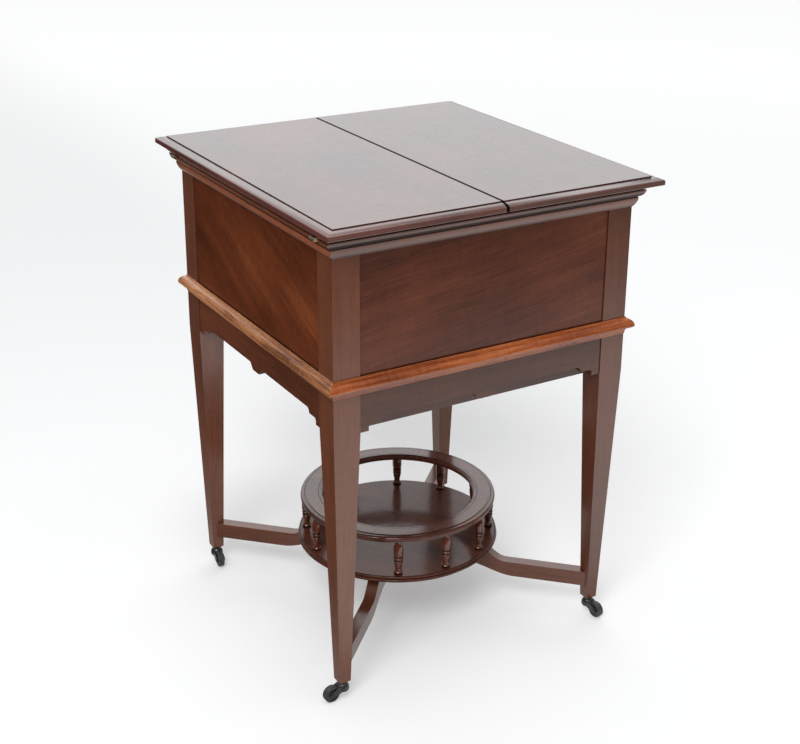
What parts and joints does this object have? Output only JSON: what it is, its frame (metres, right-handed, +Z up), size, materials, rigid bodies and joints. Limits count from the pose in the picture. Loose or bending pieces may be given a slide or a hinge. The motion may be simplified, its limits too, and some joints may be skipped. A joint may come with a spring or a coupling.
{
  "type": "sewing table",
  "caption": "Square mahogany sewing table with twin hinged leaves, rising work tray, tapered legs, galleried round tier and casters.",
  "frame": {"origin": "on the floor, under the centre of the closed table", "axes": "+X to the right along the front, +Y from the front to the back, +Z up; the seam of the lid runs along Y"},
  "size_m": [0.542, 0.568, 0.735],
  "materials": {
    "mahogany_top": "French polished, figured",
    "mahogany_panel": "polished, figured",
    "mahogany_legs": "polished, straight grain",
    "mahogany_moulding": "polished",
    "bright_moulding": "polished, worn to a lighter tone",
    "mahogany_apron": "polished",
    "mahogany_tier": "polished",
    "turned_mahogany": "polished turning",
    "interior_wood": "satin",
    "brass": "aged",
    "black_iron": "black japanned, worn",
    "wheel_composition": "black composition, scuffed"
  },
  "bodies": {
    "case": {"leg_front_left": "mahogany_legs", "leg_front_right": "mahogany_legs", "leg_back_left": "mahogany_legs", "leg_back_right": "mahogany_legs", "panel_front": "mahogany_panel", "cornice_front": "mahogany_moulding", "waist_moulding_front": "bright_moulding", "apron_front": "mahogany_apron", "panel_back": "mahogany_panel", "cornice_back": "mahogany_moulding", "waist_moulding_back": "bright_moulding", "apron_back": "mahogany_apron", "panel_left": "mahogany_panel", "cornice_left": "mahogany_moulding", "waist_moulding_left": "bright_moulding", "apron_left": "mahogany_apron", "panel_right": "mahogany_panel", "cornice_right": "mahogany_moulding", "waist_moulding_right": "bright_moulding", "apron_right": "mahogany_apron", "ring_segment_front": "mahogany_tier", "ring_segment_back": "mahogany_tier", "ring_segment_left": "mahogany_tier", "ring_segment_right": "mahogany_tier", "bottom_board": "mahogany_apron", "guide_rails": "interior_wood", "case_hinge_plates": "brass", "hinge_pins": "brass", "stretcher_lower": "mahogany_legs", "stretcher_upper": "mahogany_legs", "tier_disc": "mahogany_tier", "gallery_spindles": "turned_mahogany", "caster_sockets": "black_iron"},
    "left_leaf": {"left_leaf_board": "mahogany_top", "left_leaf_side_batten": "mahogany_moulding", "left_leaf_front_batten": "mahogany_moulding", "left_leaf_back_batten": "mahogany_moulding", "left_leaf_hinge_plates": "brass"},
    "right_leaf": {"right_leaf_board": "mahogany_top", "right_leaf_side_batten": "mahogany_moulding", "right_leaf_front_batten": "mahogany_moulding", "right_leaf_back_batten": "mahogany_moulding", "right_leaf_hinge_plates": "brass"},
    "work_tray": {"tray_ends": "interior_wood", "tray_sides": "interior_wood", "tray_bottom": "interior_wood", "tray_dividers": "interior_wood"},
    "caster_front_left": {"fork_front_left": "black_iron", "axle_front_left": "black_iron"},
    "caster_wheel_front_left": {"wheel_front_left": "wheel_composition"},
    "caster_front_right": {"fork_front_right": "black_iron", "axle_front_right": "black_iron"},
    "caster_wheel_front_right": {"wheel_front_right": "wheel_composition"},
    "caster_back_left": {"fork_back_left": "black_iron", "axle_back_left": "black_iron"},
    "caster_wheel_back_left": {"wheel_back_left": "wheel_composition"},
    "caster_back_right": {"fork_back_right": "black_iron", "axle_back_right": "black_iron"},
    "caster_wheel_back_right": {"wheel_back_right": "wheel_composition"}
  },
  "joints": [
    {"name": "left_leaf_hinge", "type": "hinge", "parent": "case", "child": "left_leaf", "pos_m": [-0.263, 0, 0.7122], "axis": [0, -1, 0], "range_deg": [0, 180]},
    {"name": "right_leaf_hinge", "type": "hinge", "parent": "case", "child": "right_leaf", "pos_m": [0.263, 0, 0.7122], "axis": [0, 1, 0], "range_deg": [0, 180]},
    {"name": "tray_lift", "type": "slide", "parent": "case", "child": "work_tray", "axis": [0, 0, 1], "range_m": [0, 0.11]},
    {"name": "caster_swivel_front_left", "type": "hinge", "parent": "case", "child": "caster_front_left", "pos_m": [-0.2245, -0.2245, 0.025], "axis": [0, 0, 1], "continuous": true},
    {"name": "wheel_spin_front_left", "type": "hinge", "parent": "caster_front_left", "child": "caster_wheel_front_left", "pos_m": [-0.24347, -0.22549, 0.0125], "axis": [0.0523, -0.9986, 0], "continuous": true},
    {"name": "caster_swivel_front_right", "type": "hinge", "parent": "case", "child": "caster_front_right", "pos_m": [0.2245, -0.2245, 0.025], "axis": [0, 0, 1], "continuous": true},
    {"name": "wheel_spin_front_right", "type": "hinge", "parent": "caster_front_right", "child": "caster_wheel_front_right", "pos_m": [0.22714, -0.24332, 0.0125], "axis": [0.9903, 0.1392, 0], "continuous": true},
    {"name": "caster_swivel_back_left", "type": "hinge", "parent": "case", "child": "caster_back_left", "pos_m": [-0.2245, 0.2245, 0.025], "axis": [0, 0, 1], "continuous": true},
    {"name": "wheel_spin_back_left", "type": "hinge", "parent": "caster_back_left", "child": "caster_wheel_back_left", "pos_m": [-0.22714, 0.20569, 0.0125], "axis": [0.9903, -0.1392, 0], "continuous": true},
    {"name": "caster_swivel_back_right", "type": "hinge", "parent": "case", "child": "caster_back_right", "pos_m": [0.2245, 0.2245, 0.025], "axis": [0, 0, 1], "continuous": true},
    {"name": "wheel_spin_back_right", "type": "hinge", "parent": "caster_back_right", "child": "caster_wheel_back_right", "pos_m": [0.20875, 0.21388, 0.0125], "axis": [0.5592, -0.829, 0], "continuous": true}
  ],
  "couplings": [
    {"joint": "right_leaf_hinge", "follows": "left_leaf_hinge", "ratio": 1},
    {"joint": "tray_lift", "follows": "left_leaf_hinge", "m_per_rad": 0.035}
  ]
}
